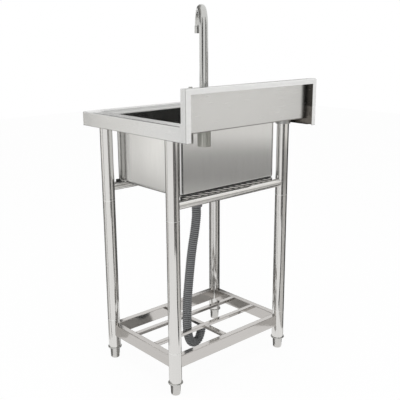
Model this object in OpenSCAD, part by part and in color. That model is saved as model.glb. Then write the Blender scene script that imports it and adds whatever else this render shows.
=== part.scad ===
// Freestanding utility laundry sink: a folded stainless worktop with an upstand and a welded bowl,
// on four tube legs with rails, a lower shelf frame and adjustable feet, with its tap and waste.
// Front is -Y, the upstand is at +Y, and the floor is at z = 0 under the middle of the worktop.

/* [Worktop] */
// Width of the worktop from side to side
top_w = 508; // [506:2:600]
// Depth from the front apron to the back of the upstand
top_d = 484; // [470:2:560]
// Height of the rim above the floor
rim_z = 800; // [770:5:850]
// Thickness of the folded stainless sheet
sheet = 1.2; // [0.8:0.1:1.6]
// Height of the front and side aprons
apron_h = 42; // [36:1:60]
// Height of the upstand above the rim
upstand_h = 96; // [60:1:140]
// Depth of the upstand's box section
upstand_t = 23; // [18:1:30]
// Width of the folded return round the open back of the upstand
return_w = 15; // [8:1:20]
// Distance that the back plate of the upstand hangs below the deck
back_drop = 12; // [4:1:16]
// Width of the raised rim at the front and sides
rim_w = 38; // [34:1:42]
// Drop from the rim to the deck
deck_drop = 8.5; // [5:0.5:12]
// Radius of the cove between the deck and the upstand
cove_r = 20; // [10:1:20]
// Radius of the folded outer edges
fold_r = 3; // [2:0.5:5]
// Width of the hem folded in under the aprons
hem_w = 9; // [5:1:10]

/* [Bowl] */
// Space between each side of the bowl and the plates of the leg sockets
bowl_gap = 4.3; // [3:0.1:8]
// Distance from the front apron to the bowl
bowl_front = 78; // [78:1:90]
// Distance from the bowl to the upstand, where the tap stands
bowl_back = 80; // [74:1:90]
// Distance from the deck down to the underside of the bowl
bowl_h = 205; // [180:1:215]
// Radius of the bowl's upright corners
bowl_corner_r = 15; // [14:1:40]
// Radius between the bowl's walls and its bottom
bowl_bottom_r = 12; // [8:1:12]
// Width of the round dish that the waste sits in
dish_d = 102; // [98:1:116]
// Depth of the dish
dish_h = 4; // [2:0.5:6]

/* [Legs and rails] */
// Outer diameter of the leg tubes
leg_d = 38; // [34:1:40]
// Wall of the leg tubes
leg_wall = 1.5; // [1:0.1:2]
// Distance from a leg's axis to the worktop's side
leg_inset_x = 31.7; // [30:0.1:33]
// Distance from a front leg's axis to the worktop's front
leg_inset_front = 74; // [50:1:76]
// Distance from a back leg's axis to the back of the upstand
leg_inset_back = 99.4; // [90:0.2:102]
// Diameter of the two rails under the bowl
rail_d = 26; // [22:1:30]
// Wall of the rails
rail_wall = 1.5; // [1:0.1:2]
// Space between the bowl's underside and the top of the rails
rail_drop = 2.5; // [1:0.5:12]
// Distance from the rail's axis down to the upper joint of a leg
upper_joint_drop = 40; // [30:1:80]
// Height of the lower joint of a leg above the floor
lower_joint_z = 135; // [130:1:160]
// Thickness of the ring that shows at each joint
joint_ring = 1.6; // [1:0.1:3]
// Length that a joint sleeve reaches into each tube
sleeve_l = 34; // [20:1:45]

/* [Shelf] */
// Height of the shelf frame's top above the floor
shelf_z = 119; // [112:1:122]
// Height of the shelf frame's tube
shelf_h = 38; // [30:1:40]
// Width of the shelf frame's tube
shelf_t = 20; // [16:1:24]
// Distance from a leg's axis to the frame's outer face
shelf_out = 8; // [4:0.5:12]
// Wall of the shelf frame's tube
shelf_wall = 1.2; // [0.8:0.1:2]
// Width of the slats
slat_w = 16; // [12:1:22]
// Height of the slats
slat_h = 10; // [6:1:16]
// Distance from the middle of the worktop to the cross bar
cross_x = 12; // [0:1:13]

/* [Feet] */
// Height of the foot below its ring
foot_h = 35; // [28:1:40]
// Diameter of the foot at its top
foot_d = 31; // [26:1:34]
// Diameter of the foot's flat base
foot_base_d = 22; // [18:1:24]
// Diameter of the ring above the foot
foot_ring_d = 44; // [40:1:50]
// Thickness of the ring above the foot
foot_ring_h = 5; // [3:0.5:7]
// Diameter of the foot's threaded stem
foot_stem_d = 10; // [8:1:12]
// Length of the foot's threaded stem
foot_stem_l = 44; // [40:1:46]

/* [Tap] */
// Distance from the middle of the worktop to the tap
tap_x = 135; // [100:1:140]
// Distance from the tap's axis to the upstand
tap_back = 44; // [44:1:48]
// Diameter of the hole in the deck for the tap
tap_hole_d = 35; // [32:1:36]
// Diameter of the tap's body
tap_d = 42; // [38:1:42]
// Height of the tap's body above its base ring
tap_h = 86; // [80:1:96]
// Diameter of the tap's threaded shank
shank_d = 26; // [24:1:28]
// Diameter of the spout's tube
spout_d = 23; // [20:0.5:24]
// Wall of the spout's tube
spout_wall = 1.5; // [1:0.1:2]
// Height of the middle of the spout's bend above the deck
spout_up = 252.5; // [200:0.5:300]
// Radius of the spout's bend
spout_bend_r = 48; // [40:1:70]
// Angle that the spout is turned to the left of straight forward
spout_turn = 34.5; // [0:0.5:60]
// Height of the lever's axis above the deck
lever_up = 53; // [50:1:56]
// Length of the lever from its axis to its tip
lever_l = 50; // [40:1:60]
// Diameter of the nut under the deck
tap_nut_d = 36; // [34:1:40]
// Height of the nut under the deck
tap_nut_h = 54; // [30:1:60]

/* [Waste] */
// Diameter of the waste's flange in the bowl
flange_d = 92; // [88:1:96]
// Outer diameter of the waste's throat
throat_d = 62; // [56:1:66]
// Distance from the bowl's dish down to the end of the coupling
waste_drop = 82.5; // [80:0.5:96]
// Outer diameter of the waste's outlet
outlet_d = 31; // [28:1:32]
// Outer diameter of the coupling nut
coupling_d = 37; // [35:1:40]
// Height of the coupling nut
coupling_h = 30; // [24:1:34]
// Outer diameter of the drain hose over its ribs
hose_d = 30; // [26:1:32]
// Bore of the drain hose
hose_bore = 21; // [18:1:22]
// Depth of the grooves between the hose's ribs
hose_groove = 1.8; // [1:0.1:2.4]
// Number of ribs along the hose
hose_ribs = 84; // [40:1:110]

/* [Hidden] */
// Overrun of every cut, and the fine gaps of welds, running fits and stops
over = 2;
weld_gap = 0.1;
run_fit = 0.05;
stop_gap = 0.2;
face_gap = 0.3;

$fn = 64;

// Levels and lines of the worktop
deck_z = rim_z - deck_drop;
deck_under = deck_z - sheet;
skirt_z = rim_z - apron_h;
top_z = rim_z + upstand_h;
upstand_y = top_d / 2 - upstand_t;
deck_x = top_w / 2 - rim_w;
deck_front = -top_d / 2 + rim_w;
deck_corner_r = 14;
back_corner_r = 20;

// Lines of the legs, seen from the front
leg_x = top_w / 2 - leg_inset_x;
front_y = -top_d / 2 + leg_inset_front;
back_y = top_d / 2 - leg_inset_back;
leg_r = leg_d / 2;

// Lines of the bowl, which hangs between the plates of the leg sockets
socket_plate_r = 26;
bowl_w = 2 * (leg_x - socket_plate_r - bowl_gap);
bowl_d = upstand_y + top_d / 2 - bowl_front - bowl_back;
bowl_y = upstand_y - bowl_back - bowl_d / 2;
bowl_z = deck_z - bowl_h;
bowl_lip = 8;
dish_z = bowl_z - dish_h;
bottom_steps = 5;

// Heights of the rails and of the upper joints
rail_z = bowl_z - rail_drop - rail_d / 2;
upper_joint_z = rail_z - upper_joint_drop;

// Bearers and sockets under the deck
bearer_t = 3;
bearer_l = 390;
bearer_gap = 1;
bearer_lip_t = 2.5;
bearer_edge = 3;
bearer_x0 = bowl_w / 2 + bowl_lip + bearer_gap;
bearer_x1 = top_w / 2 - sheet - bearer_edge;
bearer_z = deck_under - bearer_t;
socket_plate_t = 3;
socket_wall = 4;
socket_h = 28;
socket_z = bearer_z - socket_plate_t;
screw_d = 6;
screw_l = 6;
screw_down = 16;
screw_key_d = 3;
screw_key_h = 2.5;

// Joint sleeves
sleeve_r = leg_r - leg_wall - run_fit;
sleeve_wall = 2;
ring_proud = 0.4;
ring_r = leg_r + ring_proud;

// Shelf frame
shelf_low = shelf_z - shelf_h;
shelf_x1 = leg_x + shelf_out;
shelf_x0 = shelf_x1 - shelf_t;
shelf_y1 = back_y + shelf_out;
shelf_y0 = front_y - shelf_out;
shelf_corner_r = 2;
slat_corner_r = 1.5;
slat_wall = 1;
slat_gap_share = 1 / 3;
inner_y0 = shelf_y0 + shelf_t;
inner_y1 = shelf_y1 - shelf_t;
slat_front_y = inner_y0 + (inner_y1 - inner_y0) * slat_gap_share;
slat_back_y = inner_y1 - (inner_y1 - inner_y0) * slat_gap_share;

// Feet
lower_end = foot_h + foot_ring_h;
insert_l = 22;
foot_edge_r = 3;
foot_neck = 1;

// Waste
waste_y = bowl_y;
flange_t = 1.5;
seal_t = 0.8;
seal_z = dish_z + sheet;
flange_z = seal_z + seal_t;
flange_top = flange_z + flange_t;
waste_wall = 2;
throat_r = throat_d / 2;
throat_l = 34;
cone_l = 16;
outlet_r = outlet_d / 2;
coupling_z = dish_z - waste_drop;
coupling_floor = 4;
gasket_t = 3;
waste_nut_h = 9;
waste_nut_r = 42;
waste_nut_lug = 3;
waste_nut_lug_w = 9;
waste_lugs = 8;
grip_ribs = 18;
grip_d = 1.6;
basket_play = 1.2;
basket_r = throat_r - waste_wall - basket_play;
basket_rim = 4;
basket_h = 28;
basket_wall = 1;
basket_slots = 12;
basket_slot_w = 3;
basket_slot_h = 14;
basket_hole_d = 4;
basket_rings = 2;
knob_r = 7;
knob_t = 3;
post_r = 3;

// Tap
tap_y = upstand_y - tap_back;
tap_base_rim = 2.5;
tap_base_r = tap_d / 2 + tap_base_rim;
tap_base_t = 5;
tap_foot_z = deck_z + tap_base_t;
tap_top_z = tap_foot_z + tap_h;
tap_r = tap_d / 2;
tap_shoulder = 8;
tap_neck_r = 17;
tap_waist = 1.5;
shank_r = shank_d / 2;
tap_seal_t = 3;
tap_seal_r = 22;
tap_washer_t = 2;
tap_washer_r = 23;
tap_nut_top = deck_under - tap_seal_t - tap_washer_t;
tap_nut_z = tap_nut_top - tap_nut_h;
tap_nut_ribs = 16;
tap_nut_groove = 2.2;
tap_nut_collar = 6;
inlet_d = 15;
inlet_l = 14;
shank_up = 1;
socket_depth = 28;
spout_r = spout_d / 2;
spout_foot_z = tap_top_z - socket_depth;
spout_bend_z = deck_z + spout_up;
spout_tail = 6;
spout_end_z = spout_bend_z - spout_tail;
spout_nut_h = 5;
spout_nut_r = 15.5;
aerator_h = 10;
aerator_r = 12.7;
aerator_sleeve = 5.5;
aerator_wall = 1.4;
aerator_mesh_t = 1;
aerator_hole_d = 2.2;
aerator_groove = 0.6;
lever_z = deck_z + lever_up;
barrel_r = 16;
barrel_x = 33;
spindle_r = 7;
spindle_in = 14;
spindle_out = 7;
valve_ring_t = 4;
valve_ring_r = 17;
lever_hub_r = 14;
lever_hub_l = 14;
lever_t = 8;
lever_w = 11;
lever_tip_w = 10;
lever_lean = 3;

// Route of the drain hose: across and up, in the upright plane through the middle of the waste.
// It hangs from the coupling, passes between the slats, turns under the shelf and ends open.
hose_route = [[0, 500], [0, 486], [0, 472], [3, 448], [9, 413], [17, 375], [24, 335], [31, 285],
    [37, 237], [41, 200], [43, 163], [44, 126], [43, 96], [38, 66], [28, 45], [11, 37],
    [-6, 45], [-15, 64], [-18, 79], [-21, 93]];
hose_sides = 8;
hose_steps = 8;
hose_probe = 1;

function spline(a, b, c, d, t) = 0.5 * (2 * b + (c - a) * t
    + (2 * a - 5 * b + 4 * c - d) * t * t + (3 * b - a - 3 * c + d) * t * t * t);
hose_last = len(hose_route) - 1;
function hose_knot(i) = i < 0 ? 2 * hose_route[0] - hose_route[1]
    : i > hose_last ? 2 * hose_route[hose_last] - hose_route[hose_last - 1] : hose_route[i];
hose_line = concat([for (i = [0:hose_last - 1]) for (k = [0:hose_steps - 1])
    spline(hose_knot(i - 1), hose_knot(i), hose_knot(i + 1), hose_knot(i + 2), k / hose_steps)],
    [hose_route[hose_last]]);
function run(line, i = 0, sum = 0) = i == len(line) - 1 ? [sum]
    : concat([sum], run(line, i + 1, sum + norm(line[i + 1] - line[i])));
hose_run = run(hose_line);
hose_length = hose_run[len(hose_run) - 1];
function at_run(s, i = 0) = i >= len(hose_run) - 2 || hose_run[i + 1] > s
    ? hose_line[i] + (hose_line[i + 1] - hose_line[i]) * (s - hose_run[i]) / (hose_run[i + 1] - hose_run[i])
    : at_run(s, i + 1);
echo(hose_length = hose_length);

// Flat outlines

module plate2d(x0, x1, y0, y1, r) {
    translate([x0 + r, y0]) square([x1 - x0 - 2 * r, y1 - y0]);
    translate([x0, y0 + r]) square([x1 - x0, y1 - y0 - 2 * r]);
    for (x = [x0 + r, x1 - r]) for (y = [y0 + r, y1 - r]) translate([x, y]) circle(r);
}

module arched2d(x0, x1, y0, y1, r) {
    translate([x0, y0]) square([x1 - x0, y1 - y0 - r]);
    translate([x0 + r, y0]) square([x1 - x0 - 2 * r, y1 - y0]);
    for (x = [x0 + r, x1 - r]) translate([x, y1 - r]) circle(r);
}

// An outline of depth against height, drawn out along the width
module along_x(x0, x1) {
    translate([x0, 0, 0]) rotate([90, 0, 90]) linear_extrude(x1 - x0) children();
}

// An outline of width against height, drawn out along the depth
module along_y(y0, y1) {
    translate([0, y1, 0]) rotate([90, 0, 0]) linear_extrude(y1 - y0) children();
}

module ring(outer, inner, z0, z1) {
    translate([0, 0, z0]) difference() {
        cylinder(r = outer, h = z1 - z0);
        translate([0, 0, -over]) cylinder(r = inner, h = z1 - z0 + 2 * over);
    }
}

// Worktop: every form takes the depth that it lies in from the sheet's outer face

module base_form(inset, low) {
    intersection() {
        along_x(-top_w / 2 + inset, top_w / 2 - inset)
            arched2d(-top_d / 2 + inset, top_d / 2 - inset, low, rim_z - inset, fold_r - inset);
        along_y(-top_d / 2, top_d / 2)
            arched2d(-top_w / 2 + inset, top_w / 2 - inset, low, rim_z - inset, fold_r - inset);
    }
}

module upstand_form(inset, low) {
    along_x(-top_w / 2 + inset, top_w / 2 - inset)
        arched2d(upstand_y + inset, top_d / 2 - inset, low, top_z - inset, fold_r - inset);
}

module air_profile(inset) {
    difference() {
        translate([-top_d, deck_z - inset]) square([top_d + upstand_y + inset, top_z]);
        difference() {
            translate([upstand_y - cove_r, deck_z - inset]) square([cove_r + inset, cove_r + inset]);
            translate([upstand_y - cove_r, deck_z + cove_r]) circle(cove_r + inset);
        }
    }
}

module cove_form(inset) {
    difference() {
        along_x(-top_w / 2 + inset, top_w / 2 - inset)
            translate([upstand_y - cove_r, deck_z - over])
            square([cove_r + over + inset, cove_r + over]);
        along_x(-top_w / 2, top_w / 2) air_profile(inset);
    }
}

module deck_cut(inset) {
    intersection() {
        along_x(-top_w / 2, top_w / 2) air_profile(inset);
        translate([0, 0, deck_z - over]) linear_extrude(top_z)
            plate2d(-deck_x - inset, deck_x + inset, deck_front - inset, top_d, deck_corner_r + inset);
    }
}

module worktop_form(inset, low) {
    difference() {
        union() {
            base_form(inset, low);
            upstand_form(inset, low);
        }
        deck_cut(inset);
    }
    cove_form(inset);
}

module bowl_outline(inset) {
    plate2d(-bowl_w / 2 + inset, bowl_w / 2 - inset,
        bowl_y - bowl_d / 2 + inset, bowl_y + bowl_d / 2 - inset, bowl_corner_r - inset);
}

module back_plate() {
    x = top_w / 2 - sheet / 2;
    low = deck_under - back_drop;
    translate([0, upstand_y + 2 * sheet, 0]) rotate([90, 0, 0]) linear_extrude(3 * sheet / 2) {
        plate2d(-x, x, low, low + 3 * back_corner_r, back_corner_r);
        translate([-x, low + back_corner_r])
            square([2 * x, top_z - sheet / 2 - low - back_corner_r]);
    }
}

module worktop() {
    color("gainsboro") {
        back_plate();
        difference() {
            worktop_form(0, skirt_z);
            worktop_form(sheet, skirt_z - over);
            along_x(-top_w / 2 + return_w, top_w / 2 - return_w)
                translate([upstand_y + 2 * sheet, skirt_z - over])
                square([upstand_t, apron_h + upstand_h - return_w + over]);
            translate([0, 0, deck_under - over]) linear_extrude(sheet + 2 * over) bowl_outline(sheet);
            translate([tap_x, tap_y, deck_under - over]) cylinder(d = tap_hole_d, h = sheet + 2 * over);
        }
        translate([0, 0, skirt_z]) linear_extrude(sheet) difference() {
            translate([-top_w / 2 + sheet, -top_d / 2 + sheet])
                square([top_w - 2 * sheet, upstand_y + top_d / 2]);
            translate([-top_w / 2 + hem_w, -top_d / 2 + hem_w])
                square([top_w - 2 * hem_w, top_d]);
        }
    }
}

// Bowl: straight walls, a rounded bottom edge and a dish for the waste

module bowl_form(inset) {
    r = bowl_bottom_r - inset;
    hull() for (k = [0:bottom_steps]) {
        a = 90 * k / bottom_steps;
        low = bowl_z + inset + r * (1 - sin(a));
        step_in = inset + r * (1 - cos(a));
        height = k == 0 ? deck_under - low + (inset > 0 ? over : 0) : weld_gap;
        translate([0, 0, low]) linear_extrude(height) bowl_outline(step_in, $fn = 32);
    }
}

module bowl() {
    color("silver") difference() {
        union() {
            bowl_form(0);
            translate([0, bowl_y, dish_z]) cylinder(d = dish_d + 2 * sheet, h = dish_h + sheet);
            translate([0, 0, deck_under - sheet]) linear_extrude(sheet) bowl_outline(-bowl_lip);
        }
        bowl_form(sheet);
        translate([0, bowl_y, dish_z + sheet]) cylinder(d = dish_d, h = dish_h + sheet);
        translate([0, bowl_y, dish_z - over]) cylinder(d = throat_d + 2 * weld_gap, h = bowl_h);
    }
}

// Bearers, sockets and their screws under the deck

module bearer() {
    color("darkgray") along_y(-bearer_l / 2, bearer_l / 2) {
        translate([bearer_x0, bearer_z]) square([bearer_x1 - bearer_x0, bearer_t]);
        translate([bearer_x1 - bearer_lip_t, bearer_z]) square([bearer_lip_t, rim_z - sheet - bearer_z]);
    }
}

module socket(side, y) {
    color("darkgray") translate([side * leg_x, y, 0]) difference() {
        union() {
            translate([0, 0, socket_z]) cylinder(r = socket_plate_r, h = socket_plate_t);
            translate([0, 0, socket_z - socket_h]) cylinder(r = leg_r + run_fit + socket_wall, h = socket_h);
        }
        translate([0, 0, socket_z - socket_h - over]) cylinder(r = leg_r + run_fit, h = socket_h + over);
        translate([0, 0, socket_z - screw_down]) rotate([0, -side * 90, 0])
            cylinder(d = screw_d + 2 * run_fit, h = leg_d);
    }
}

module socket_screws() {
    color("dimgray") for (side = [-1, 1]) for (y = [front_y, back_y])
        translate([side * leg_x, y, socket_z - screw_down]) rotate([0, -side * 90, 0])
        translate([0, 0, leg_r]) difference() {
            cylinder(d = screw_d, h = screw_l);
            translate([0, 0, screw_l - screw_key_h]) cylinder(d = screw_key_d, h = screw_l, $fn = 6);
        }
}

// Legs: three tubes a leg, joined by ringed sleeves

module leg_tube(side, y, z0, z1) {
    color("lightgray") translate([side * leg_x, y, 0]) ring(leg_r, leg_r - leg_wall, z0, z1);
}

module upper_leg(side, y) {
    leg_tube(side, y, upper_joint_z + joint_ring / 2, socket_z);
}

module middle_leg(side, y) {
    leg_tube(side, y, lower_joint_z + joint_ring / 2, upper_joint_z - joint_ring / 2);
}

module lower_leg(side, y) {
    leg_tube(side, y, lower_end, lower_joint_z - joint_ring / 2);
}

module sleeves(z) {
    color("whitesmoke") for (side = [-1, 1]) for (y = [front_y, back_y]) translate([side * leg_x, y, z])
        difference() {
            union() {
                translate([0, 0, -sleeve_l]) cylinder(r = sleeve_r, h = 2 * sleeve_l);
                translate([0, 0, -joint_ring / 2]) cylinder(r = ring_r, h = joint_ring);
            }
            translate([0, 0, -sleeve_l - over])
                cylinder(r = sleeve_r - sleeve_wall, h = 2 * sleeve_l + 2 * over);
        }
}

// A tube of any outline from leg to leg, coped round the legs

module between_legs(y) {
    difference() {
        children();
        for (side = [-1, 1]) translate([side * leg_x, y, -over])
            cylinder(r = leg_r + weld_gap, h = rim_z);
    }
}

module rail(y) {
    color("lightgray") between_legs(y) translate([-leg_x, y, rail_z]) rotate([0, 90, 0]) difference() {
        cylinder(d = rail_d, h = 2 * leg_x);
        translate([0, 0, -over]) cylinder(d = rail_d - 2 * rail_wall, h = 2 * leg_x + 2 * over);
    }
}

module box_tube2d(w0, w1, h0, h1, wall, r) {
    difference() {
        plate2d(w0, w1, h0, h1, r);
        translate([w0 + wall, h0 + wall]) square([w1 - w0 - 2 * wall, h1 - h0 - 2 * wall]);
    }
}

module shelf_long(y, y0, y1) {
    color("silver") between_legs(y) along_x(-leg_x, leg_x)
        box_tube2d(y0, y1, shelf_low, shelf_z, shelf_wall, shelf_corner_r);
}

module shelf_side(side) {
    color("silver") difference() {
        along_y(front_y, back_y)
            box_tube2d(side > 0 ? shelf_x0 : -shelf_x1, side > 0 ? shelf_x1 : -shelf_x0,
                shelf_low, shelf_z, shelf_wall, shelf_corner_r);
        for (y = [front_y, back_y]) translate([side * leg_x, y, -over])
            cylinder(r = leg_r + weld_gap, h = rim_z);
    }
}

module slat(y) {
    color("silver") along_x(-shelf_x0 + weld_gap, shelf_x0 - weld_gap)
        box_tube2d(y - slat_w / 2, y + slat_w / 2, shelf_z - slat_h, shelf_z, slat_wall, slat_corner_r);
}

module cross_bar(y0, y1) {
    color("silver") along_y(y0 + weld_gap, y1 - weld_gap)
        box_tube2d(cross_x - slat_w / 2, cross_x + slat_w / 2,
            shelf_z - slat_h, shelf_z, slat_wall, slat_corner_r);
}

// Feet: a ringed plug in each leg, and a foot that screws up and down in it

module foot_inserts() {
    color("whitesmoke") for (side = [-1, 1]) for (y = [front_y, back_y]) translate([side * leg_x, y, 0])
        difference() {
            union() {
                translate([0, 0, lower_end - over]) cylinder(r = leg_r - leg_wall - run_fit, h = insert_l + over);
                rotate_extrude() {
                    translate([0, foot_h]) square([foot_ring_d / 2 - foot_ring_h / 2, foot_ring_h]);
                    translate([foot_ring_d / 2 - foot_ring_h / 2, foot_h + foot_ring_h / 2])
                        circle(d = foot_ring_h);
                }
            }
            translate([0, 0, foot_h - over]) cylinder(r = foot_stem_d / 2 + run_fit, h = insert_l + foot_h);
        }
}

module foot(side, y) {
    top = foot_h - stop_gap;
    base_r = foot_base_d / 2;
    color("silver") translate([side * leg_x, y, 0]) rotate_extrude() {
        polygon([[0, 0], [base_r, 0],
            for (a = [0:15:90]) [base_r + foot_edge_r * sin(a), foot_edge_r * (1 - cos(a))],
            [foot_d / 2, top - foot_neck], [foot_d / 2 - foot_neck, top], [0, top]]);
        square([foot_stem_d / 2, foot_stem_l + top]);
    }
}

// Waste: flange and throat in the bowl, clamped by a nut, with a lift-out basket

module waste_body() {
    low = dish_z - throat_l;
    bore_r = outlet_r - waste_wall;
    color("silver") translate([0, waste_y, 0]) rotate_extrude() polygon([
        [throat_r - waste_wall, flange_top], [flange_d / 2, flange_top], [flange_d / 2, flange_z],
        [throat_r, flange_z], [throat_r, low], [outlet_r, low - cone_l],
        [outlet_r, coupling_z + coupling_floor], [bore_r, coupling_z + coupling_floor],
        [bore_r, low - cone_l + waste_wall], [throat_r - waste_wall, low + waste_wall]]);
}

module waste_seal() {
    color("dimgray") translate([0, waste_y, 0]) ring(flange_d / 2, throat_r + weld_gap, seal_z, flange_z);
}

module waste_gasket() {
    color("dimgray") translate([0, waste_y, 0])
        ring(waste_nut_r, throat_r + weld_gap, dish_z - gasket_t, dish_z);
}

module waste_nut() {
    top = dish_z - gasket_t;
    color("gray") translate([0, waste_y, top - waste_nut_h]) difference() {
        union() {
            cylinder(r = waste_nut_r, h = waste_nut_h);
            for (k = [0:waste_lugs - 1]) rotate([0, 0, (k + 1/2) * 360 / waste_lugs])
                translate([waste_nut_r - waste_nut_lug, -waste_nut_lug_w / 2, 0])
                cube([2 * waste_nut_lug, waste_nut_lug_w, waste_nut_h]);
        }
        translate([0, 0, -over]) cylinder(r = throat_r + weld_gap, h = waste_nut_h + 2 * over);
    }
}

module strainer_basket() {
    floor_z = flange_top - basket_h;
    color("silver") translate([0, waste_y, 0]) difference() {
        rotate_extrude() {
            polygon([[0, floor_z], [basket_r, floor_z], [basket_r, flange_top],
                [throat_r + basket_rim, flange_top], [throat_r + basket_rim, flange_top + basket_wall],
                [basket_r - basket_wall, flange_top + basket_wall],
                [basket_r - basket_wall, floor_z + basket_wall], [0, floor_z + basket_wall]]);
            translate([0, floor_z]) square([post_r, basket_h]);
            translate([0, flange_top - knob_t]) square([knob_r, knob_t]);
        }
        for (k = [0:basket_slots - 1]) rotate([0, 0, k * 360 / basket_slots])
            translate([basket_r - over, -basket_slot_w / 2, floor_z + (basket_h - basket_slot_h) / 2])
            cube([2 * over, basket_slot_w, basket_slot_h]);
        for (n = [1:basket_rings]) for (k = [0:6 * n - 1])
            rotate([0, 0, k * 60 / n])
            translate([n * basket_r / (basket_rings + 1) + post_r, 0, floor_z - over])
            cylinder(d = basket_hole_d, h = 2 * over + basket_wall, $fn = 16);
    }
}

module coupling_nut() {
    color("dimgray") translate([0, waste_y, coupling_z]) difference() {
        cylinder(d = coupling_d, h = coupling_h);
        translate([0, 0, -over]) cylinder(d = hose_bore, h = coupling_h);
        translate([0, 0, coupling_floor]) cylinder(r = outlet_r + run_fit, h = coupling_h);
        for (k = [0:grip_ribs - 1]) rotate([0, 0, k * 360 / grip_ribs])
            translate([coupling_d / 2, 0, -over]) cylinder(d = grip_d, h = coupling_h + 2 * over, $fn = 16);
    }
}

// Drain hose: rings of a ribbed wall and of a plain bore, swept along the route

function hose_at(s) = at_run(max(0, min(hose_length, s)));
function hose_way(s) = let (v = hose_at(s + hose_probe) - hose_at(s - hose_probe)) v / norm(v);
function hose_ring(s, r) = let (p = hose_at(s), w = hose_way(s))
    [for (k = [0:hose_sides - 1]) let (a = 360 * k / hose_sides)
        [p.x - w.y * r * cos(a), waste_y + r * sin(a), p.y + w.x * r * cos(a)]];

// Faces of a skin of rings, as triangles; a second skin turned inside out gives the bore
function skin(first, rings, flip) = [for (i = [0:rings - 2]) for (k = [0:hose_sides - 1])
    let (a = first + i * hose_sides + k, b = first + i * hose_sides + (k + 1) % hose_sides)
    for (f = flip ? [[a, a + hose_sides, b], [b, a + hose_sides, b + hose_sides]]
        : [[a, b, a + hose_sides], [b, b + hose_sides, a + hose_sides]]) f];
function rim(outer, inner, flip) = [for (k = [0:hose_sides - 1])
    let (a = outer + k, b = outer + (k + 1) % hose_sides, c = inner + k, d = inner + (k + 1) % hose_sides)
    for (f = flip ? [[a, b, c], [b, d, c]] : [[a, c, b], [b, c, d]]) f];

module drain_hose() {
    pitch = hose_length / hose_ribs;
    outer_s = [for (i = [0:hose_ribs - 1]) for (k = [0, 1]) (i + k / 2) * pitch, hose_length];
    outer_rings = [for (i = [0:len(outer_s) - 1])
        hose_ring(outer_s[i], hose_d / 2 - (i % 2 == 0 ? 0 : hose_groove))];
    inner_rings = [for (i = [0:hose_ribs]) hose_ring(i * pitch, hose_bore / 2)];
    points = [for (r = outer_rings) for (p = r) p, for (r = inner_rings) for (p = r) p];
    n_out = len(outer_rings);
    n_in = len(inner_rings);
    start_in = n_out * hose_sides;
    faces = concat(skin(0, n_out, true), skin(start_in, n_in, false),
        rim(0, start_in, true),
        rim((n_out - 1) * hose_sides, start_in + (n_in - 1) * hose_sides, false));
    color("dimgray") polyhedron(points, faces);
}

// Tap: ring, body with its shank, side valve with a lever, swivel spout

module at_tap() {
    translate([tap_x, tap_y, 0]) children();
}

module tap_base() {
    color("lightgray") at_tap() rotate_extrude() polygon([
        [shank_r + weld_gap, deck_z], [tap_base_r, deck_z], [tap_base_r, deck_z + tap_base_t / 2],
        [tap_base_r - tap_base_t / 2, tap_foot_z], [shank_r + weld_gap, tap_foot_z]]);
}

module tap_body() {
    barrel_low = lever_z - barrel_r;
    shank_low = tap_nut_z + shank_up;
    color("lightgray") at_tap() difference() {
        union() {
            rotate_extrude() polygon([[0, tap_foot_z], [tap_r, tap_foot_z],
                [tap_r - tap_waist, barrel_low], [tap_r - tap_waist, lever_z + barrel_r],
                [tap_r - tap_waist, tap_top_z - tap_shoulder],
                for (a = [0:15:90]) [tap_neck_r + (tap_r - tap_waist - tap_neck_r) * cos(a),
                    tap_top_z - tap_shoulder + tap_shoulder * sin(a)],
                [0, tap_top_z]]);
            translate([0, 0, shank_low]) cylinder(r = shank_r, h = tap_foot_z - shank_low + over);
            translate([0, 0, lever_z]) rotate([0, 90, 0]) cylinder(r = barrel_r, h = barrel_x);
        }
        translate([0, 0, spout_foot_z]) cylinder(r = spout_r + run_fit, h = socket_depth + over);
        translate([0, 0, shank_low - over]) cylinder(d = inlet_d, h = inlet_l + over);
        translate([barrel_x - spindle_in, 0, lever_z]) rotate([0, 90, 0])
            cylinder(r = spindle_r + run_fit, h = spindle_in + over);
    }
}

module tap_seal() {
    color("dimgray") at_tap() ring(tap_seal_r, shank_r + weld_gap, deck_under - tap_seal_t, deck_under);
}

module tap_washer() {
    color("silver") at_tap() ring(tap_washer_r, shank_r + weld_gap, tap_nut_top, deck_under - tap_seal_t);
}

module tap_nut() {
    color("darkgray") at_tap() difference() {
        translate([0, 0, tap_nut_z]) cylinder(d = tap_nut_d, h = tap_nut_h);
        translate([0, 0, tap_nut_z - over]) cylinder(r = shank_r + run_fit, h = tap_nut_h + 2 * over);
        for (k = [0:tap_nut_ribs - 1]) rotate([0, 0, k * 360 / tap_nut_ribs])
            translate([tap_nut_d / 2, 0, tap_nut_z - over])
            cylinder(d = tap_nut_groove, h = tap_nut_h - tap_nut_collar + over, $fn = 16);
    }
}

module at_valve() {
    translate([tap_x + barrel_x, tap_y, lever_z]) rotate([0, 90, 0]) children();
}

module valve_ring() {
    color("lightgray") at_valve() ring(valve_ring_r, spindle_r + run_fit, 0, valve_ring_t);
}

module valve_spindle() {
    color("darkgray") at_valve() translate([0, 0, face_gap - spindle_in])
        cylinder(r = spindle_r, h = spindle_in + valve_ring_t + spindle_out - face_gap);
}

module lever() {
    hub_z = valve_ring_t + face_gap;
    color("silver") at_valve() difference() {
        union() {
            translate([0, 0, hub_z]) cylinder(r = lever_hub_r, h = lever_hub_l);
            hull() {
                translate([-lever_hub_r / 2, 0, hub_z + lever_hub_l / 2])
                    cube([lever_t, lever_w, lever_t], center = true);
                translate([-lever_l + lever_tip_w / 2, 0, hub_z + lever_hub_l / 2 + lever_lean])
                    rotate([0, 90, 0]) cylinder(d = lever_tip_w, h = lever_t, center = true, $fn = 32);
            }
        }
        translate([0, 0, hub_z - over]) cylinder(r = spindle_r + weld_gap, h = spindle_out + over);
    }
}

module spout_nut() {
    color("lightgray") at_tap() ring(spout_nut_r, spout_r + run_fit, tap_top_z, tap_top_z + spout_nut_h);
}

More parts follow.
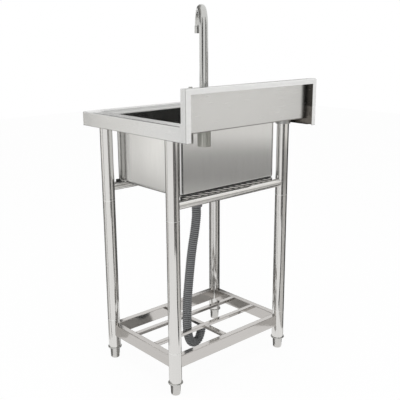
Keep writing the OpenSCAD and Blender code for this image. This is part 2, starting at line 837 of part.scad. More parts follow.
// Everything on the spout is turned with it
module on_spout() {
    at_tap() rotate([0, 0, -90 - spout_turn]) children();
}

module spout() {
    color("lightgray") on_spout() {
        ring(spout_r, spout_r - spout_wall, spout_foot_z + face_gap, spout_bend_z);
        translate([spout_bend_r, 0, spout_bend_z]) rotate([90, 0, 0]) rotate_extrude(angle = 180)
            translate([spout_bend_r, 0]) difference() {
                circle(spout_r);
                circle(spout_r - spout_wall);
            }
        translate([2 * spout_bend_r, 0, 0]) ring(spout_r, spout_r - spout_wall, spout_end_z, spout_bend_z);
    }
}

module aerator() {
    low = spout_end_z - aerator_h;
    sleeve_outer = spout_r - spout_wall - weld_gap;
    color("lightgray") on_spout() translate([2 * spout_bend_r, 0, 0]) difference() {
        rotate_extrude() polygon([[0, low + aerator_mesh_t], [sleeve_outer - aerator_wall, low + aerator_mesh_t],
            [sleeve_outer - aerator_wall, low], [aerator_r, low],
            [aerator_r, spout_end_z - 2 * aerator_mesh_t],
            [aerator_r - aerator_groove, spout_end_z - 2 * aerator_mesh_t],
            [aerator_r - aerator_groove, spout_end_z],
            [sleeve_outer, spout_end_z], [sleeve_outer, spout_end_z + aerator_sleeve],
            [sleeve_outer - aerator_wall, spout_end_z + aerator_sleeve],
            [sleeve_outer - aerator_wall, low + 2 * aerator_mesh_t], [0, low + 2 * aerator_mesh_t]]);
        for (n = [1, 2]) for (k = [0:6 * n - 1]) rotate([0, 0, k * 60 / n])
            translate([n * sleeve_outer / 3, 0, low - over])
            cylinder(d = aerator_hole_d, h = aerator_h, $fn = 16);
    }
}

worktop();
bowl();
mirror([1, 0, 0]) bearer();  // bearer_left
bearer();  // bearer_right
socket(-1, front_y);  // socket_front_left
socket(1, front_y);  // socket_front_right
socket(-1, back_y);  // socket_back_left
socket(1, back_y);  // socket_back_right
socket_screws();
upper_leg(-1, front_y);  // upper_leg_front_left
upper_leg(1, front_y);  // upper_leg_front_right
upper_leg(-1, back_y);  // upper_leg_back_left
upper_leg(1, back_y);  // upper_leg_back_right
rail(front_y);  // rail_front
rail(back_y);  // rail_back
sleeves(upper_joint_z);  // upper_joints
sleeves(lower_joint_z);  // lower_joints
middle_leg(-1, front_y);  // middle_leg_front_left
middle_leg(1, front_y);  // middle_leg_front_right
middle_leg(-1, back_y);  // middle_leg_back_left
middle_leg(1, back_y);  // middle_leg_back_right
lower_leg(-1, front_y);  // lower_leg_front_left
lower_leg(1, front_y);  // lower_leg_front_right
lower_leg(-1, back_y);  // lower_leg_back_left
lower_leg(1, back_y);  // lower_leg_back_right
shelf_long(front_y, shelf_y0, inner_y0);  // shelf_front
shelf_long(back_y, inner_y1, shelf_y1);  // shelf_back
shelf_side(-1);  // shelf_left
shelf_side(1);  // shelf_right
slat(slat_front_y);  // slat_front
slat(slat_back_y);  // slat_back
cross_bar(inner_y0, slat_front_y - slat_w / 2);  // cross_front
cross_bar(slat_front_y + slat_w / 2, slat_back_y - slat_w / 2);  // cross_middle
cross_bar(slat_back_y + slat_w / 2, inner_y1);  // cross_back
foot_inserts();
foot(-1, front_y);  // foot_front_left
foot(1, front_y);  // foot_front_right
foot(-1, back_y);  // foot_back_left
foot(1, back_y);  // foot_back_right
waste_body();
waste_seal();
waste_gasket();
waste_nut();
strainer_basket();
coupling_nut();
drain_hose();
tap_base();
tap_body();
tap_seal();
tap_washer();
tap_nut();
valve_ring();
valve_spindle();
lever();
spout_nut();
spout();
aerator();
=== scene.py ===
import math
import bpy
from mathutils import Matrix, Vector


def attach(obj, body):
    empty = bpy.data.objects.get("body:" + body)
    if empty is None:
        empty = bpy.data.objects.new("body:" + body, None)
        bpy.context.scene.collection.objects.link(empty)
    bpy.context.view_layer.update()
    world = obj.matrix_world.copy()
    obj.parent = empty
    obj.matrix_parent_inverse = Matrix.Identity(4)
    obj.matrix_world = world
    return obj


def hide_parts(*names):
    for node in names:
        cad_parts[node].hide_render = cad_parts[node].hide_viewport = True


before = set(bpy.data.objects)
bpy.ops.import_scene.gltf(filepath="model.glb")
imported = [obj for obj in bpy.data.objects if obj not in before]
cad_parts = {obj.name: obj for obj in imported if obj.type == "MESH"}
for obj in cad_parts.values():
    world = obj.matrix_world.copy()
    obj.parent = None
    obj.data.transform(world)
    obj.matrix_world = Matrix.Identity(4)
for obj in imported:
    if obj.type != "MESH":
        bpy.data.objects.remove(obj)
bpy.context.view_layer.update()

# Camera
# It stands behind the right end of the sink, a little above the rim, as in the photograph.
# Its place, turn and lens were fitted to the corners and legs that the photograph shows.
camera_at = Vector((1.3159, 1.4849, 1.0398))
camera_yaw = math.radians(228.36)
camera_pitch = math.radians(-14.61)
camera_roll = math.radians(-0.34)
ahead = Vector((math.cos(camera_yaw) * math.cos(camera_pitch),
                math.sin(camera_yaw) * math.cos(camera_pitch), math.sin(camera_pitch)))
level = ahead.cross(Vector((0, 0, 1))).normalized()
upward = level.cross(ahead)
across = level * math.cos(camera_roll) + upward * math.sin(camera_roll)
upright = -level * math.sin(camera_roll) + upward * math.cos(camera_roll)
lens = bpy.data.cameras.new("camera")
lens.sensor_width = 36
lens.lens = 59.11
camera = bpy.data.objects.new("camera", lens)
camera.matrix_world = Matrix((
    (across.x, upright.x, -ahead.x, camera_at.x),
    (across.y, upright.y, -ahead.y, camera_at.y),
    (across.z, upright.z, -ahead.z, camera_at.z),
    (0, 0, 0, 1)))
bpy.context.scene.collection.objects.link(camera)
bpy.context.scene.camera = camera
bpy.context.scene.view_settings.view_transform = "Standard"


# Studio
# A seamless white floor and backdrop under broad soft lamps. Grey felt cards stand round the sink and
# fans of felt lie round its legs, only for the polished steel to reflect, as a photographer sets them.
def add_mesh(name, points, faces, smooth=False):
    mesh = bpy.data.meshes.new(name)
    mesh.from_pydata([tuple(p) for p in points], [], faces)
    mesh.update()
    if smooth:
        mesh.polygons.foreach_set("use_smooth", [True] * len(mesh.polygons))
    piece = bpy.data.objects.new(name, mesh)
    bpy.context.scene.collection.objects.link(piece)
    return piece


def new_material(name):
    material = bpy.data.materials.new(name)
    material.use_nodes = True
    return material


def feed(material, name, socket):
    """Links a socket to the named input of the material's shader."""
    tree = material.node_tree
    tree.links.new(socket, tree.nodes["Principled BSDF"].inputs[name])


def maths(owner, operation, *values):
    """Works out a value in a material or the world from sockets and plain numbers."""
    tree = owner.node_tree
    node = tree.nodes.new("ShaderNodeMath")
    node.operation = operation
    for socket, value in zip(node.inputs, values):
        if isinstance(value, (int, float)):
            socket.default_value = value
        else:
            tree.links.new(value, socket)
    return node.outputs[0]


def rescale(owner, value, given, wanted, shape="LINEAR"):
    """Maps a value from the given pair of numbers to the wanted pair."""
    tree = owner.node_tree
    node = tree.nodes.new("ShaderNodeMapRange")
    node.interpolation_type = shape
    for name, number in zip(("From Min", "From Max", "To Min", "To Max"), (*given, *wanted)):
        node.inputs[name].default_value = number
    tree.links.new(value, node.inputs["Value"])
    return node.outputs["Result"]


def color_ramp(material, value, stops):
    """Colours a value from 0 to 1 by stops, each a place on the ramp and a colour."""
    tree = material.node_tree
    ramp = tree.nodes.new("ShaderNodeValToRGB")
    elements = ramp.color_ramp.elements
    for place, color in stops[1:-1]:
        elements.new(place)
    for element, (place, color) in zip(elements, stops):
        element.position = place
        element.color = (*color, 1)
    tree.links.new(value, ramp.inputs["Fac"])
    return ramp.outputs["Color"]


def noise(material, scale, detail, coord=None, rough=0.5):
    tree = material.node_tree
    texture = tree.nodes.new("ShaderNodeTexNoise")
    texture.inputs["Scale"].default_value = scale
    texture.inputs["Detail"].default_value = detail
    texture.inputs["Roughness"].default_value = rough
    if coord is not None:
        tree.links.new(coord, texture.inputs["Vector"])
    return texture.outputs["Fac"]


def position(material):
    """Gives the node that knows each point's place and normal, and the point's x, y and z."""
    tree = material.node_tree
    place = tree.nodes.new("ShaderNodeNewGeometry")
    apart = tree.nodes.new("ShaderNodeSeparateXYZ")
    tree.links.new(place.outputs["Position"], apart.inputs[0])
    return place, *apart.outputs


def seen_by(owner, *rays):
    """1 for the named kinds of ray, 0 for the others."""
    path = owner.node_tree.nodes.new("ShaderNodeLightPath")
    mask = path.outputs[rays[0]]
    for ray in rays[1:]:
        mask = maths(owner, "MAXIMUM", mask, path.outputs[ray])
    return mask


floor_half = 6.0
floor_white = 0.93
glow_share = 0.95
floor = add_mesh("floor", [(-floor_half, -floor_half, 0), (floor_half, -floor_half, 0),
                           (floor_half, floor_half, 0), (-floor_half, floor_half, 0)], [(0, 1, 2, 3)])
material = new_material("white_floor")
nodes, links = material.node_tree.nodes, material.node_tree.links
paint = nodes["Principled BSDF"]
paint.inputs["Base Color"].default_value = (floor_white, floor_white, floor_white, 1)
paint.inputs["Roughness"].default_value = 0.9
glow = nodes.new("ShaderNodeEmission")
glow.inputs["Color"].default_value = (1, 1, 1, 1)
blend = nodes.new("ShaderNodeMixShader")
seen = seen_by(material, "Is Camera Ray", "Is Glossy Ray")
links.new(maths(material, "MULTIPLY", seen, glow_share), blend.inputs[0])
links.new(paint.outputs[0], blend.inputs[1])
links.new(glow.outputs[0], blend.inputs[2])
links.new(blend.outputs[0], nodes["Material Output"].inputs["Surface"])
floor.data.materials.append(material)

sky_light, sky_white = 0.7, 1.0
world = bpy.data.worlds.new("white_backdrop")
bpy.context.scene.world = world
world.use_nodes = True
sky = world.node_tree.nodes["Background"]
sky.inputs["Color"].default_value = (1, 1, 1, 1)
seen = seen_by(world, "Is Camera Ray", "Is Glossy Ray", "Is Transmission Ray")
world.node_tree.links.new(rescale(world, seen, (0, 1), (sky_light, sky_white)), sky.inputs["Strength"])

# Each lamp has its place, its width and its power in watts.
lamp_aim = Vector((0, 0, 0.6))
for name, at, size, watts in (("lamp_over", (0.3, 0.4, 3.0), 2.4, 28),
                              ("lamp_back", (0.2, 3.0, 1.6), 2.0, 14),
                              ("lamp_side", (3.0, -0.2, 1.6), 2.0, 20)):
    light = bpy.data.lights.new(name, "AREA")
    light.shape = "RECTANGLE"
    light.size = light.size_y = size
    light.energy = watts
    lamp = bpy.data.objects.new(name, light)
    lamp.location = at
    lamp.visible_glossy = False
    lamp.rotation_euler = (lamp_aim - Vector(at)).to_track_quat("-Z", "Y").to_euler()
    bpy.context.scene.collection.objects.link(lamp)


def felt_grey(grey):
    return grey, grey * 0.985, grey * 0.96


def add_felt(name, points, faces):
    """Adds a felt card that only the steel sees, and gives its material."""
    card = add_mesh(name, points, faces)
    card.visible_camera = False
    card.visible_diffuse = False
    card.visible_shadow = False
    material = new_material(name)
    material.node_tree.nodes["Principled BSDF"].inputs["Roughness"].default_value = 1.0
    card.data.materials.append(material)
    return material


# Each card has its start and end on the circle in degrees, its bottom and top, and its greys by height.
# A card that starts at the floor has a skirt that runs in over the floor.
cards = (("card_near", 58, 81, 0.20, 0.66, ((0.3, 0.22), (0.6, 0.22))),
         ("card_line", 82, 96, 0, 0.95, ((0.3, 0.03), (0.6, 0.03))),
         ("card_soft", 97, 144, 0, 0.95, ((0.36, 0.64), (0.44, 0.40), (0.54, 0.50), (0.62, 0.98))),
         ("card_end", 145, 196, 0, 0.95, ((0.36, 0.09), (0.62, 0.045))),
         ("card_low", 197, 247, 0, 0.40, ((0.1, 0.07), (0.4, 0.07))),
         ("card_back", 252, 272, 0, 0.85, ((0.3, 0.08), (0.6, 0.055))),
         ("card_side", 276, 298, 0, 0.85, ((0.36, 0.045), (0.62, 0.085))),
         ("card_dim", 299, 309, 0, 0.85, ((0.36, 0.40), (0.46, 0.55), (0.56, 0.62))),
         ("card_pale", 309, 324, 0, 0.85, ((0.36, 0.62), (0.46, 0.84), (0.56, 0.98))),
         ("card_thin", 337, 342, 0, 0.85, ((0.3, 0.3), (0.6, 0.3))),
         ("card_rim", 229, 256, 0.905, 1.02, ((0.9, 0.28), (1.0, 0.28))),
         ("card_rim_end", 198, 216, 0.893, 1.02, ((0.9, 0.40), (1.0, 0.40))),
         ("card_spout", 7, 38, 0.84, 1.7, ((1.0, 0.05), (1.6, 0.45))),
         ("card_spout_side", 83, 110, 0.86, 1.7, ((1.0, 0.05), (1.6, 0.45))),
         ("card_spout_left", 240, 340, 1.15, 2.4, ((1.2, 0.09), (2.2, 0.45))))
card_r, spout_card_r, skirt_r = 0.90, 0.88, 0.42
felt_lift = 0.002
felt_steps = 12
for name, start, end, bottom, top, greys in cards:
    outer_r = spout_card_r if "spout" in name else card_r
    inner_r = outer_r if bottom > 0 else skirt_r
    foot = bottom + felt_lift
    points = []
    for k in range(felt_steps + 1):
        a = math.radians(start + (end - start) * k / felt_steps)
        points += [(r * math.cos(a), r * math.sin(a), z)
                   for r, z in ((inner_r, foot), (outer_r, foot), (outer_r, top))]
    faces = [(3 * k + j, 3 * k + j + 3, 3 * k + j + 4, 3 * k + j + 1)
             for k in range(felt_steps) for j in (0, 1)]
    felt = add_felt(name, points, faces)
    low, high = greys[0][0], greys[-1][0]
    place, x, y, z = position(felt)
    stops = [((height - low) / (high - low), felt_grey(grey)) for height, grey in greys]
    feed(felt, "Base Color", color_ramp(felt, rescale(felt, z, (low, high), (0, 1)), stops))

# A far fan is for the sides of a leg and a near one for those of its foot. Each has its reach from and
# to, its start and end in degrees from the line that runs away from the camera, and its two greys.
fans = (("fan_far", 0.09, 0.30, -60, 40, 0.42, 0.58),
        ("fan_near", 0.016, 0.088, -68, 125, 0.20, 0.32))
leg_x, back_leg_y, front_leg_y = 0.222, 0.143, -0.168
legs = {"front_left": (-leg_x, front_leg_y), "front_right": (leg_x, front_leg_y),
        "back_left": (-leg_x, back_leg_y), "back_right": (leg_x, back_leg_y)}
weave_scale = 6.0
for corner, (leg_at_x, leg_at_y) in legs.items():
    behind = math.atan2(camera_at.y - leg_at_y, camera_at.x - leg_at_x) + math.pi
    for name, inner_r, outer_r, start, end, dark, light in fans:
        points = []
        for k in range(felt_steps + 1):
            a = behind + math.radians(start + (end - start) * k / felt_steps)
            points += [(leg_at_x + r * math.cos(a), leg_at_y + r * math.sin(a), felt_lift)
                       for r in (inner_r, outer_r)]
        faces = [(2 * k, 2 * k + 1, 2 * k + 3, 2 * k + 2) for k in range(felt_steps)]
        felt = add_felt(f"{name}_{corner}", points, faces)
        stops = [(0, felt_grey(dark)), (1, felt_grey(light))]
        feed(felt, "Base Color", color_ramp(felt, noise(felt, weave_scale, 2.0), stops))

# Drain hose
# A soft plastic hose blown with ribs, pushed up under the coupling nut of the waste. It hangs through
# the shelf, turns back up under it and ends open. The route repeats that of the part, in millimetres.
MM = 0.001
hose_y = -12.5
hose_route = [(0, 500), (0, 486), (0, 472), (3, 448), (9, 413), (17, 375), (24, 335), (31, 285),
              (37, 237), (41, 200), (43, 163), (44, 126), (43, 96), (38, 66), (28, 45), (11, 37),
              (-6, 45), (-15, 64), (-18, 79), (-21, 93)]
route_steps = 24
hose_d = 30 * MM
hose_bore = 21 * MM
hose_groove = 2.2 * MM
hose_ribs = 84
hose_sides = 28
rib_steps = 6
crest_steps = (0, 1, 4, 5)
crest_round = 0.6


def spline_through(knots, steps):
    ends = [2 * knots[0] - knots[1], *knots, 2 * knots[-1] - knots[-2]]
    line = []
    for i in range(1, len(ends) - 2):
        a, b, c, d = ends[i - 1:i + 3]
        for k in range(steps):
            t = k / steps
            line.append(0.5 * (2 * b + (c - a) * t + (2 * a - 5 * b + 4 * c - d) * t ** 2
                               + (3 * b - a - 3 * c + d) * t ** 3))
    return line + [knots[-1]]


def even_stations(line, count):
    """Gives points at even distances along the line, and its length."""
    runs = [0.0]
    for a, b in zip(line, line[1:]):
        runs.append(runs[-1] + (b - a).length)
    stations, i = [], 0
    for k in range(count + 1):
        s = runs[-1] * k / count
        while i < len(line) - 2 and runs[i + 1] < s:
            i += 1
        stations.append(line[i].lerp(line[i + 1], (s - runs[i]) / (runs[i + 1] - runs[i])))
    return stations, runs[-1]


def skin_faces(rings, sides, first=0, flip=False):
    faces = []
    for i in range(rings - 1):
        for k in range(sides):
            a, b = first + i * sides + k, first + i * sides + (k + 1) % sides
            quad = (a, b, b + sides, a + sides)
            faces.append(quad[::-1] if flip else quad)
    return faces


def emboss(material, height, strength, depth):
    tree = material.node_tree
    bump = tree.nodes.new("ShaderNodeBump")
    bump.inputs["Strength"].default_value = strength
    bump.inputs["Distance"].default_value = depth
    tree.links.new(height, bump.inputs["Height"])
    feed(material, "Normal", bump.outputs["Normal"])


def moulded(name, low, high, rough, size=120, dimples=0.05):
    """Moulded plastic or rubber, clouded from the low colour to the high one, with dimples in mm."""
    material = new_material(name)
    material.node_tree.nodes["Principled BSDF"].inputs["Roughness"].default_value = rough
    coord = material.node_tree.nodes.new("ShaderNodeTexCoord")
    cloud = noise(material, size, 4.0, coord.outputs["Object"])
    feed(material, "Base Color", color_ramp(material, cloud, [(0, low), (1, high)]))
    if dimples:
        emboss(material, cloud, 0.2, dimples * MM)
    return material


hose_knots = [Vector((x * MM, hose_y * MM, z * MM)) for x, z in hose_route]
hose_line, hose_length = even_stations(spline_through(hose_knots, route_steps), hose_ribs * rib_steps)
outside, inside = [], []
for i, at in enumerate(hose_line):
    way = (hose_line[min(i + 1, len(hose_line) - 1)] - hose_line[max(i - 1, 0)]).normalized()
    side = Vector((0, 1, 0)).cross(way)
    crest = 0.5 + 0.5 * math.cos(2 * math.pi * i / rib_steps)
    r = hose_d / 2 - hose_groove * (1 - crest ** crest_round)
    for k in range(hose_sides):
        a = 2 * math.pi * k / hose_sides
        spoke = side * math.cos(a) + Vector((0, 1, 0)) * math.sin(a)
        outside.append(at + spoke * r)
        inside.append(at + spoke * hose_bore / 2)
rings = len(hose_line)
bore_first = rings * hose_sides
faces = skin_faces(rings, hose_sides) + skin_faces(rings, hose_sides, bore_first, True)
for start, flip in ((0, False), ((rings - 1) * hose_sides, True)):
    for k in range(hose_sides):
        n = (k + 1) % hose_sides
        quad = (start + k, start + n, bore_first + start + n, bore_first + start + k)
        faces.append(quad if flip else quad[::-1])
hose = add_mesh("ribbed_hose", outside + inside, faces, smooth=True)
# The rib crests get a lighter colour as a painted highlight, and the grooves a darker one as painted shade.
for name, low, high in (("hose_crest", (0.165, 0.170, 0.174), (0.250, 0.257, 0.263)),
                        ("hose_groove", (0.012, 0.013, 0.014), (0.028, 0.029, 0.031))):
    hose.data.materials.append(moulded(name, low, high, rough=0.38, size=60, dimples=0))
for face in hose.data.polygons:
    on_crest = face.index // hose_sides % rib_steps in crest_steps
    face.material_index = 0 if face.index >= (rings - 1) * hose_sides or on_crest else 1
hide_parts("drain_hose")
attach(hose, "frame")


# Worktop
# One stainless sheet, folded into aprons, rim, sunk deck and upstand, with its welded corners ground
# flush. The sheet is brushed along its length, and its folds catch a thin line of light.
def steel(name, tone, grain, rough=0.3, streak=0.06, fine=0.015):
    """Brushed stainless steel. Grain is how fast the brush lines change along x, y and z, streak is
    how far they change the tone, and fine is their depth in mm."""
    material = new_material(name)
    nodes, links = material.node_tree.nodes, material.node_tree.links
    nodes["Principled BSDF"].inputs["Metallic"].default_value = 1.0
    coord = nodes.new("ShaderNodeTexCoord")
    stretch = nodes.new("ShaderNodeMapping")
    stretch.inputs["Scale"].default_value = grain
    links.new(coord.outputs["Object"], stretch.inputs["Vector"])
    lines = noise(material, 1.0, 5.0, stretch.outputs["Vector"], rough=0.65)
    cloud = noise(material, 3.0, 2.0, coord.outputs["Object"])
    line_share, cloud_share = 0.7, 0.3
    both = maths(material, "MULTIPLY_ADD", lines, line_share, maths(material, "MULTIPLY", cloud, cloud_share))
    dark, light = ([min(1, t * share) for t in tone] for share in (1 - streak, 1 + streak))
    low, high = 0.25, 0.75
    feed(material, "Base Color", color_ramp(material, both, [(low, dark), (high, light)]))
    feed(material, "Roughness", rescale(material, both, (low, high), (rough * 0.85, rough * 1.15)))
    emboss(material, lines, 0.25, fine * MM)
    return material


def dress(names, material):
    for name in names:
        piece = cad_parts[name]
        piece.data.materials.clear()
        piece.data.materials.append(material)


def tint(material, mask, tone):
    """Multiplies the colour by the tone where the mask is 1."""
    tree = material.node_tree
    mix = tree.nodes.new("ShaderNodeMix")
    mix.data_type = "RGBA"
    mix.blend_type = "MULTIPLY"
    plain = tree.nodes["Principled BSDF"].inputs["Base Color"].links[0].from_socket
    tree.links.new(mask, mix.inputs["Factor"])
    tree.links.new(plain, mix.inputs["A"])
    mix.inputs["B"].default_value = (*tone, 1)
    feed(material, "Base Color", mix.outputs["Result"])


def inward(material, place, middle):
    """1 on the faces that look towards the middle, 0 on the others."""
    tree = material.node_tree
    outward = tree.nodes.new("ShaderNodeVectorMath")
    outward.operation = "SUBTRACT"
    outward.inputs[1].default_value = middle
    facing = tree.nodes.new("ShaderNodeVectorMath")
    facing.operation = "DOT_PRODUCT"
    tree.links.new(place.outputs["Position"], outward.inputs[0])
    tree.links.new(outward.outputs["Vector"], facing.inputs[0])
    tree.links.new(place.outputs["True Normal"], facing.inputs[1])
    return maths(material, "LESS_THAN", facing.outputs["Value"], 0.0)


def above(material, value, limit):
    return maths(material, "GREATER_THAN", value, limit)


def below(material, value, limit):
    return maths(material, "LESS_THAN", value, limit)


def band(material, value, middle, half):
    """1 where the value is no further than half from the middle."""
    return maths(material, "COMPARE", value, middle, half)


def overlap(material, *masks):
    """1 where every mask is 1."""
    mask = masks[0]
    for other in masks[1:]:
        mask = maths(material, "MULTIPLY", mask, other)
    return mask


# Places on the sheet where its colour or finish changes, in metres. Inside the folds the colour is darkened
# as painted shade, and its cut and folded edges and the lower edge of the back plate get thin lines of
# painted shade.
worktop_middle = (0, 0.05, 0.85)
under_deck_z, deck_front_z = 0.7895, 0.7880
behind_upstand_y, upstand_fold_z = 0.2204, 0.8955
upstand_end_z = 0.812
plate_y, plate_low_z, plate_half_w, edge_half = 0.2203, 0.7795, 0.252, 0.0014
plate_back_y, plate_back_half = 0.2214, 0.0006
shade_slope, shade_middle = -2.0, 0.5
apron_edge_z = 0.7594
return_y, return_half, wall_face_y = 0.2390, 0.0015, 0.2405
front_rim_y, front_rim_half, front_rim_half_w = -0.2150, 0.0255, 0.2530
worktop_steel = steel("worktop_steel", (0.74, 0.74, 0.73), (14, 420, 420), rough=0.26, streak=0.08)
place, x, y, z = position(worktop_steel)
hidden = maths(worktop_steel, "MAXIMUM", below(worktop_steel, z, under_deck_z),
               above(worktop_steel, y, behind_upstand_y))
inner_shade = overlap(worktop_steel, hidden, inward(worktop_steel, place, worktop_middle))
plate_edge_shade = overlap(worktop_steel, band(worktop_steel, y, plate_y, edge_half),
                     band(worktop_steel, z, plate_low_z, edge_half),
                     band(worktop_steel, x, 0.0, plate_half_w))
# The back plate is darkened as painted shade at its left end, and less and less towards its right end.
back_plate_shade = overlap(worktop_steel, band(worktop_steel, y, plate_back_y, plate_back_half),
               maths(worktop_steel, "MULTIPLY_ADD", x, shade_slope, shade_middle))
front_rim = overlap(worktop_steel, band(worktop_steel, y, front_rim_y, front_rim_half),
                    above(worktop_steel, z, deck_front_z),
                    band(worktop_steel, x, 0.0, front_rim_half_w))
# Painted shade: the inner faces under the deck and behind the upstand are darkened.
tint(worktop_steel, inner_shade, (0.12, 0.11, 0.10))
# Painted shade line along the lower edge of the back plate.
tint(worktop_steel, plate_edge_shade, (0.42, 0.41, 0.40))
# Painted shade on the top fold of the upstand, the lower edge of the aprons and a thin band at the return.
tint(worktop_steel, above(worktop_steel, z, upstand_fold_z), (0.74, 0.74, 0.73))
tint(worktop_steel, below(worktop_steel, z, apron_edge_z), (0.45, 0.45, 0.44))
tint(worktop_steel, band(worktop_steel, y, return_y, return_half), (0.72, 0.72, 0.71))
# Below the height where the upstand ends, the painted shade inside is made lighter again.
tint(worktop_steel, overlap(worktop_steel, inner_shade, below(worktop_steel, z, upstand_end_z)), (2.6, 2.6, 2.6))
# Painted shade on the back plate.
tint(worktop_steel, back_plate_shade, (0.83, 0.83, 0.83))
tint(worktop_steel, front_rim, (0.90, 0.90, 0.90))
satin = maths(worktop_steel, "MAXIMUM", front_rim, above(worktop_steel, y, wall_face_y))
feed(worktop_steel, "Metallic", rescale(worktop_steel, satin, (0, 1), (1.0, 0.1)))
dress(["worktop"], worktop_steel)

# Bowl
# Pressed from thinner stainless sheet and welded under the deck. Its outside keeps the dull pressed
# skin, a little darker than the worktop, with a lighter patch of painted highlight on its right side.
bowl_middle = (0, -0.0125, 0.70)
highlight_at = (0.215, 0.080, 0.695)
highlight_r = (0.040, 0.170)
bowl_side_x = 0.1910
bowl_steel = steel("bowl_steel", (0.70, 0.70, 0.69), (160, 160, 10), rough=0.14, streak=0.05)
place, x, y, z = position(bowl_steel)
tint(bowl_steel, inward(bowl_steel, place, bowl_middle), (1.1, 1.1, 1.1))
away = bowl_steel.node_tree.nodes.new("ShaderNodeVectorMath")
away.operation = "DISTANCE"
away.inputs[1].default_value = highlight_at
bowl_steel.node_tree.links.new(place.outputs["Position"], away.inputs[0])
bowl_highlight = rescale(bowl_steel, away.outputs["Value"], highlight_r, (1.0, 0.0), "SMOOTHSTEP")
# A painted highlight: a lighter patch on the right side of the bowl.
tint(bowl_steel, overlap(bowl_steel, above(bowl_steel, x, bowl_side_x), bowl_highlight), (1.22, 1.22, 1.22))
dress(["bowl"], bowl_steel)

# Bearers and sockets
# Plain steel channels glued under the deck carry a plated socket for each leg, and a black grub
# screw in each socket clamps the leg.
bearer_steel = steel("bearer_steel", (0.5, 0.5, 0.49), (200, 12, 200), rough=0.45)
socket_steel = steel("socket_steel", (0.55, 0.55, 0.54), (150, 150, 30), rough=0.4)
screw_steel = steel("screw_steel", (0.06, 0.06, 0.06), (300, 300, 300), rough=0.4)
dress(["bearer_left", "bearer_right"], bearer_steel)
dress(["socket_" + corner for corner in legs], socket_steel)
dress(["socket_screws"], screw_steel)

# Legs and rails
# Polished stainless tube, drawn along its length, so that its fine lines run along each tube. Ringed
# sleeves join the lengths of each leg, and the two rails are welded between the upper lengths.
leg_steel = steel("leg_steel", (0.70, 0.69, 0.67), (380, 380, 4), rough=0.11, streak=0.07)
rail_steel = steel("rail_steel", (0.78, 0.77, 0.75), (4, 380, 380), rough=0.10)
ring_steel = steel("ring_steel", (0.90, 0.90, 0.88), (200, 200, 200), rough=0.34)
dress([part + "_leg_" + corner for part in ("upper", "middle", "lower") for corner in legs], leg_steel)
dress(["rail_front", "rail_back"], rail_steel)
dress(["upper_joints", "lower_joints"], ring_steel)

# Shelf
# A frame of polished stainless box tube with two slats and a cross bar, welded together and polished
# after welding. Its fine lines run along each tube.
shelf_steel_long = steel("shelf_steel_long", (0.57, 0.55, 0.53), (5, 300, 300), rough=0.10, fine=0.02)
shelf_steel_deep = steel("shelf_steel_deep", (0.53, 0.51, 0.49), (300, 5, 300), rough=0.10, fine=0.02)
dress(["shelf_front", "shelf_back", "slat_front", "slat_back"], shelf_steel_long)
dress(["shelf_left", "shelf_right", "cross_front", "cross_middle", "cross_back"], shelf_steel_deep)

# Rail strips
# A black rubber strip with slanting ribs lies along each rail, where it keeps the bowl from ringing
# against the tube. It is moulded in one length and glued on, and its ribs are coloured pale as a painted
# highlight.
strips = (("strip_back", 138.0 * MM, 1), ("strip_front", -163.8 * MM, -1))
strip_x = (-176 * MM, 192 * MM)
strip_w = 7 * MM
strip_z = (583.9 * MM, 591.0 * MM)
strip_edge = 0.3 * MM
rib_pitch = 24 * MM
rib_w = 10 * MM
rib_rise = 0.9 * MM
rib_slant = 32 * MM


def add_bar(points, faces, x0, x1, slant, y0, y1, z0, z1):
    n = len(points)
    for z, lean in ((z0, 0), (z1, slant)):
        points.extend([(x0 + lean, y0, z), (x1 + lean, y0, z), (x1 + lean, y1, z), (x0 + lean, y1, z)])
    for quad in ((0, 3, 2, 1), (4, 5, 6, 7), (0, 1, 5, 4), (1, 2, 6, 5), (2, 3, 7, 6), (3, 0, 4, 7)):
        faces.append(tuple(n + v for v in quad))


strip_black = moulded("strip_black", (0.015, 0.015, 0.015), (0.035, 0.034, 0.033), 0.6, size=400)
# The pale rib colour is a painted highlight.
strip_rib_highlight = moulded("strip_rib_highlight", (0.50, 0.49, 0.46), (0.66, 0.64, 0.60), 0.5, size=400)
for name, inner_y, side in strips:
    outer_y = inner_y + side * strip_w
    y0, y1 = min(inner_y, outer_y), max(inner_y, outer_y)
    points, faces = [], []
    add_bar(points, faces, *strip_x, 0, y0, y1, *strip_z)
    plain = len(faces)
    ribs = (y1, y1 + rib_rise) if side > 0 else (y0 - rib_rise, y0)
    x = strip_x[0] - rib_slant + rib_pitch / 2
    while x + rib_w < strip_x[1]:
        # A rib that would run past an end of the strip is cut short there.
        start = max(0, (strip_x[0] - x) / rib_slant)
        end = min(1, (strip_x[1] - rib_w - x) / rib_slant)
        z0, z1 = (strip_z[0] + share * (strip_z[1] - strip_z[0]) for share in (start, end))
        x0 = x + start * rib_slant
        add_bar(points, faces, x0, x0 + rib_w, (end - start) * rib_slant, *ribs, z0, z1)
        x += rib_pitch
    strip = add_mesh(name, points, faces)
    strip.data.materials.append(strip_black)
    strip.data.materials.append(strip_rib_highlight)
    for face in strip.data.polygons:
        face.material_index = 1 if face.index >= plain else 0
    edge = strip.modifiers.new("edge", "BEVEL")
    edge.width = strip_edge
    edge.segments = 2
    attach(strip, "frame")

# Feet
# A turned steel plug with a round ring is driven into the end of each leg. A satin bullet foot screws
# into the plug on its stem, and levels the sink.
ring_plug_steel = steel("ring_plug_steel", (0.56, 0.56, 0.54), (60, 60, 500), rough=0.22)
foot_steel = steel("foot_steel", (0.59, 0.58, 0.56), (60, 60, 500), rough=0.27)
dress(["foot_inserts"], ring_plug_steel)
dress(["foot_" + corner for corner in legs], foot_steel)

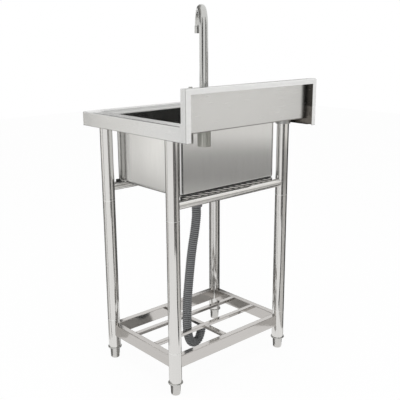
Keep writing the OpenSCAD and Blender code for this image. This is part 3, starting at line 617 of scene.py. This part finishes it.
# Waste
# A pressed steel flange and throat clamped through the bowl by a plastic ring nut on a rubber gasket,
# with a lift-out steel basket, and a dark plastic coupling nut that holds the hose.
waste_steel = steel("waste_steel", (0.70, 0.70, 0.69), (200, 200, 60), rough=0.22)
black_rubber = moulded("black_rubber", (0.020, 0.020, 0.021), (0.045, 0.045, 0.047), 0.75)
ring_nut_plastic = moulded("ring_nut_plastic", (0.62, 0.62, 0.60), (0.72, 0.72, 0.70), 0.5)
coupling_plastic = moulded("coupling_plastic", (0.15, 0.15, 0.155), (0.22, 0.22, 0.225), 0.45)
dress(["waste_body", "strainer_basket"], waste_steel)
dress(["waste_seal", "waste_gasket"], black_rubber)
dress(["waste_nut"], ring_nut_plastic)
dress(["coupling_nut"], coupling_plastic)

# Tap
# Turned steel, satin polished: a base ring, a body with a side valve, and a long shank that a ribbed
# nut of plain metal draws down on a washer and a rubber seal under the deck.
tap_steel = steel("tap_steel", (0.58, 0.58, 0.56), (240, 240, 40), rough=0.18)
washer_steel = steel("washer_steel", (0.6, 0.6, 0.58), (150, 150, 150), rough=0.3)
nut_metal = steel("nut_metal", (0.50, 0.50, 0.46), (260, 260, 20), rough=0.42)
dress(["tap_base", "tap_body", "valve_ring", "spout_nut", "lever"], tap_steel)
dress(["tap_washer", "valve_spindle"], washer_steel)
dress(["tap_nut"], nut_metal)
dress(["tap_seal"], black_rubber)

# Spout
# A polished steel tube bent into an arch, which swivels in the body of the tap under the spout nut.
# A turned steel aerator is screwed over its end.
spout_steel = steel("spout_steel", (0.57, 0.57, 0.55), (220, 220, 12), rough=0.21)
aerator_steel = steel("aerator_steel", (0.50, 0.50, 0.48), (100, 100, 400), rough=0.18)
dress(["spout"], spout_steel)
dress(["aerator"], aerator_steel)

# Aerator sleeve
# A thin turned steel sleeve with a groove round it. It is pressed over the end of the spout, above the
# aerator, and hides its thread. Its section is given as radius and height, in millimetres.
sleeve_section = [(11.7, 0.1), (12.7, 0.1), (12.7, 7.2), (12.2, 7.6), (12.2, 8.2), (12.7, 8.6),
                  (12.7, 9.4), (12.3, 9.8), (11.7, 9.8)]
sleeve_sides = 48
sleeve_lift = 10 * MM
sharp_fold = math.radians(35)
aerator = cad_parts["aerator"]
aerator_points = [aerator.matrix_world @ v.co for v in aerator.data.vertices]
middle_x, middle_y = ((min(v[k] for v in aerator_points) + max(v[k] for v in aerator_points)) / 2
                      for k in (0, 1))
sleeve_z = min(v[2] for v in aerator_points) + sleeve_lift
points, faces = [], []
for k in range(sleeve_sides):
    a = 2 * math.pi * k / sleeve_sides
    points += [(middle_x + r * MM * math.cos(a), middle_y + r * MM * math.sin(a), sleeve_z + z * MM)
               for r, z in sleeve_section]
corners = len(sleeve_section)
for k in range(sleeve_sides):
    n = (k + 1) % sleeve_sides
    for j in range(corners):
        m = (j + 1) % corners
        faces.append((k * corners + j, n * corners + j, n * corners + m, k * corners + m))
sleeve = add_mesh("aerator_sleeve", points, faces, smooth=True)
sleeve.data.materials.append(aerator_steel)
sharp = sleeve.modifiers.new("sharp", "EDGE_SPLIT")
sharp.split_angle = sharp_fold
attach(sleeve, "spout")
